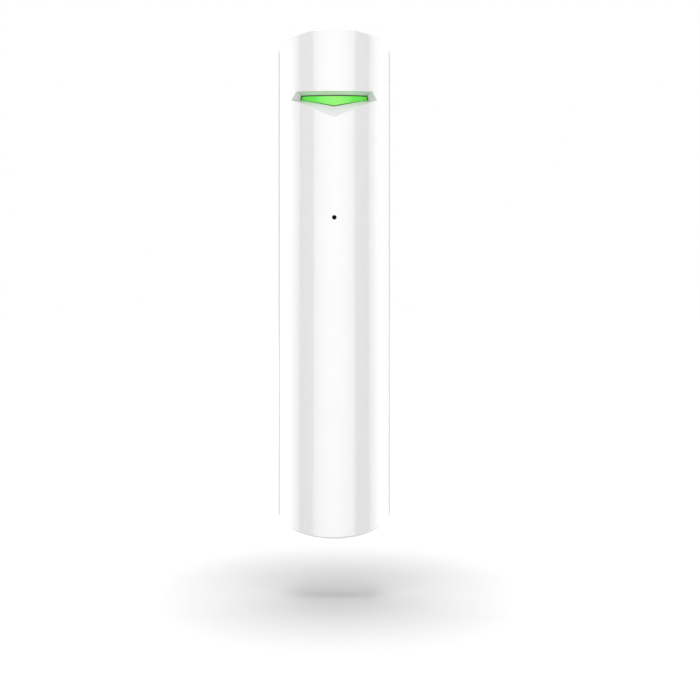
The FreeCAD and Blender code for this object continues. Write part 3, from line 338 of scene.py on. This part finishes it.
def floor_material():
    """White where it is seen, with the real shadow on it and a painted glow that lifts it to white
    away from the part, leaving painted shade in an oval round the part; grey for the light that it
    sends back up.
    """
    material, wiring = bare_material("pale_floor")
    place = wiring.node("ShaderNodeTexCoord").outputs["Object"]
    # Painted light: the glow grows with the oval distance from the part, so the floor next to the
    # part is left darker as painted shade round its real shadow.
    oval = wiring.node("ShaderNodeVectorMath", {
        0: place, 1: (1 / LIFT_REACH, LIFT_SQUEEZE / LIFT_REACH, 0)}, operation="MULTIPLY")
    away = wiring.node("ShaderNodeVectorMath", {0: oval.outputs["Vector"]}, operation="LENGTH")
    glow = wiring.grey_ramp(
        away.outputs["Value"], [(distance / LIFT_REACH, level) for distance, level in PAINTED_FLOOR_LIFT])
    painted_lift = wiring.node("ShaderNodeEmission", {"Strength": glow})
    shown = wiring.node("ShaderNodeBsdfDiffuse", {"Color": (*[FLOOR_SHOWN] * 3, 1)})
    lifted = wiring.node("ShaderNodeAddShader", {0: shown.outputs[0], 1: painted_lift.outputs[0]})
    bounce = wiring.node("ShaderNodeBsdfDiffuse", {"Color": (*[FLOOR_BOUNCE] * 3, 1)})
    mix = wiring.node("ShaderNodeMixShader", {
        0: wiring.seen_directly(), 1: bounce.outputs[0], 2: lifted.outputs[0]})
    wiring.node("ShaderNodeOutputMaterial", {"Surface": mix.outputs[0]})
    return material


def flag_material():
    """The same level wherever it is mirrored."""
    material, wiring = bare_material("edge_flag")
    glow = wiring.node("ShaderNodeEmission", {"Strength": FLAG_LEVEL})
    wiring.node("ShaderNodeOutputMaterial", {"Surface": glow.outputs[0]})
    return material


def lamp(name, width, height, location, rotation, levels):
    """A soft rectangular lamp; levels are pairs of share of its width and level."""
    data = bpy.data.lights.new(name, "AREA")
    data.shape = "RECTANGLE"
    data.size = width
    data.size_y = height
    data.energy = math.pi * width * height
    data.use_nodes = True
    wiring = Wiring(data.node_tree)
    brightest = max(level for share, level in levels)
    face = wiring.node("ShaderNodeNewGeometry").outputs["Parametric"]
    shares = wiring.grey_ramp(
        wiring.axes(face)["X"], [(share, level / brightest) for share, level in levels])
    emission = data.node_tree.nodes["Emission"]
    wiring.feed(emission.inputs["Strength"], brightest)
    wiring.feed(emission.inputs["Color"], shares)
    put(name, data, location, rotation).visible_camera = False


def beside_part(angle):
    """The place of a lamp or card at this angle from the front, in radians."""
    return (LAMP_DISTANCE * math.sin(angle), AXIS_Y - LAMP_DISTANCE * math.cos(angle), LAMP_MIDDLE)


def wall_lamp(name, levels):
    """An upright lamp; levels are pairs of angle from the front, in degrees, and level."""
    angles = [math.radians(degrees) for degrees, level in levels]
    middle = (min(angles) + max(angles)) / 2
    half_width = LAMP_DISTANCE * math.tan((max(angles) - min(angles)) / 2)
    location = beside_part(middle)
    to_part = Vector((0, AXIS_Y, LAMP_MIDDLE)) - Vector(location)
    stops = []
    for angle, (degrees, level) in zip(angles, levels):
        across = LAMP_DISTANCE * math.tan(angle - middle) / half_width
        stops.append(((1 + across) / 2, level))
    lamp(name, 2 * half_width, LAMP_HIGH - LAMP_LOW, location,
         to_part.to_track_quat("-Z", "Y").to_euler(), sorted(stops))


def mirrored(levels, side):
    """The levels for the right side, which is 1, or the left, which is -1."""
    return [(side * degrees, level) for degrees, level in levels]


floor_place = (0, 0, HOUSING_LOW.z - FLOOR_GAP)
floor = studio_card("floor", FLOOR_SIZE, FLOOR_SIZE, floor_place, (0, 0, 0), floor_material())
floor.visible_glossy = False

world = bpy.data.worlds.new("studio")
bpy.context.scene.world = world
world.use_nodes = True
surroundings = Wiring(world.node_tree)
background = world.node_tree.nodes["Background"]
surroundings.feed(background.inputs["Color"], (1, 1, 1, 1))
surroundings.feed(background.inputs["Strength"],
                  surroundings.span(surroundings.seen_directly(), low=AMBIENT, high=1.0))

wall_lamp("front_lamp", mirrored(FRONT_LEVELS[1:], -1) + FRONT_LEVELS)
lamp("top_lamp", TOP_LENGTH, TOP_WIDTH, (TOP_X, AXIS_Y, TOP_Z), (0, 0, QUARTER_TURN), TOP_LEVELS)
for side in (-1, 1):
    wall_lamp("side_lamp", mirrored(SIDE_LEVELS, side))
    wall_lamp("rear_lamp", mirrored(REAR_LEVELS, side))

flag_grey = flag_material()
flag_width = 2 * LAMP_DISTANCE * math.tan(math.radians((FLAG_TO - FLAG_FROM) / 2))
for side in (-1, 1):
    angle = math.radians(side * (FLAG_FROM + FLAG_TO) / 2)
    flag = studio_card("edge_flag", flag_width, LAMP_HIGH - LAMP_LOW, beside_part(angle),
                       (QUARTER_TURN, 0, angle), flag_grey)
    flag.visible_camera = False
    flag.visible_diffuse = False
    flag.visible_transmission = False
    flag.visible_shadow = False


# Camera, level and facing the case. Rows and columns are pixels of the photo: the row at the
# camera's height and the column of the case's axis. The shift places the case as in the photo.
SENSOR = 36.0
PICTURE = 700
FOCAL_PIXELS = 3579
EYE_ROW = 290.7
AXIS_COLUMN = 334.3
CAMERA_DISTANCE = 641 * MM
CAMERA_HEIGHT = -1.31 * MM

camera_data = bpy.data.cameras.new("camera")
camera_data.sensor_width = SENSOR
camera_data.lens = FOCAL_PIXELS / PICTURE * SENSOR
camera_data.shift_x = (PICTURE / 2 - AXIS_COLUMN) / PICTURE
camera_data.shift_y = (EYE_ROW - PICTURE / 2) / PICTURE
camera_place = (0, AXIS_Y - CAMERA_DISTANCE, CAMERA_HEIGHT)
bpy.context.scene.camera = put("camera", camera_data, camera_place, (QUARTER_TURN, 0, 0))
bpy.context.scene.view_settings.view_transform = "Standard"

bpy.context.view_layer.update()
